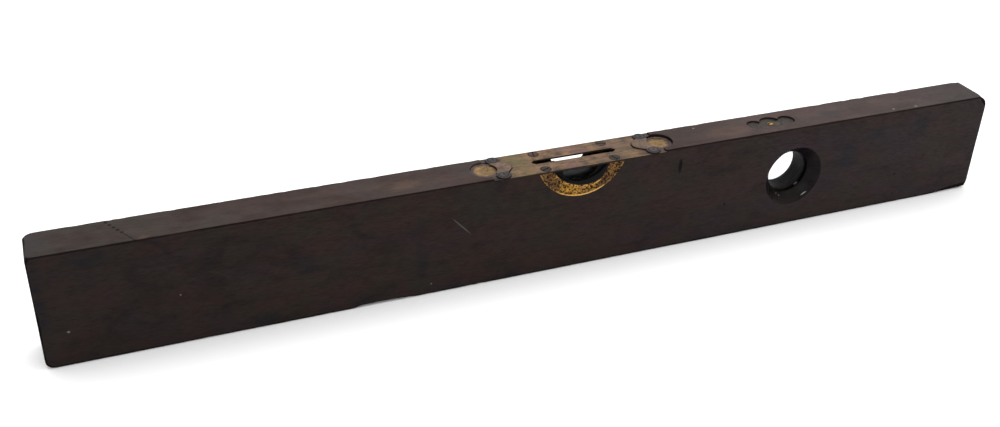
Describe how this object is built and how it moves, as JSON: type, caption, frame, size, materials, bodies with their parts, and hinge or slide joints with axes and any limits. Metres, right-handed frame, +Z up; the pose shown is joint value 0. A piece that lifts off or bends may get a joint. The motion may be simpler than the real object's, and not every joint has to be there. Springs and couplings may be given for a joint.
{
  "type": "plumb and level",
  "caption": "Long dark hardwood carpenter's level with a slotted brass top plate, crescent brass side lips, a dished round plumb port and an adjustable level glass.",
  "frame": {"origin": "middle of the stock's length and width, at the level of its bottom working face", "axes": "+X along the stock towards the plumb port, +Y from the front face to the rear face, +Z up"},
  "size_m": [0.711, 0.0308, 0.0825],
  "materials": {
    "dark_wood": "worn and oiled",
    "aged_brass": "tarnished",
    "golden_brass": "pitted",
    "brown_brass": "tarnished",
    "grey_brass": "tarnished",
    "dark_steel": "darkened",
    "steel": "dull",
    "plaster": "matt",
    "clear_glass": "clear",
    "spirit": "clear",
    "bubble": "clear"
  },
  "bodies": {
    "stock": {"stock": "dark_wood", "top_plate": "aged_brass", "left_end_disc": "golden_brass", "right_end_disc": "golden_brass", "left_collar": "brown_brass", "right_collar": "brown_brass", "front_side_lip": "golden_brass", "rear_side_lip": "golden_brass", "plate_screws": "brown_brass", "collar_screws": "dark_steel", "plumb_plate": "grey_brass", "plumb_plate_screw": "golden_brass", "hinge_bracket": "aged_brass", "bracket_rivets": "golden_brass", "hinge_pin": "steel", "adjusting_spring": "dark_steel"},
    "level_vial": {"vial_case": "aged_brass", "case_hinge_end": "aged_brass", "case_screw_end": "aged_brass", "left_plaster": "plaster", "right_plaster": "plaster", "vial_glass": "clear_glass", "spirit": "spirit"},
    "adjusting_screw": {"adjusting_screw": "steel"},
    "bubble": {"bubble": "bubble"}
  },
  "joints": [
    {"name": "case_tilt", "type": "hinge", "parent": "stock", "child": "level_vial", "pos_m": [-0.06, 0, 0.0705], "axis": [0, 1, 0], "range_deg": [-0.52, 0.52], "deforming": ["adjusting_spring"]},
    {"name": "screw_turn", "type": "hinge", "parent": "stock", "child": "adjusting_screw", "pos_m": [0.072, 0, 0.07], "axis": [0, 0, 1], "range_deg": [-540, 540]},
    {"name": "bubble_slide", "type": "slide", "parent": "level_vial", "child": "bubble", "axis": [1, 0, 0], "range_m": [-0.024, 0.024]}
  ],
  "couplings": [
    {"joint": "screw_turn", "follows": "case_tilt", "ratio": 1036.7}
  ]
}
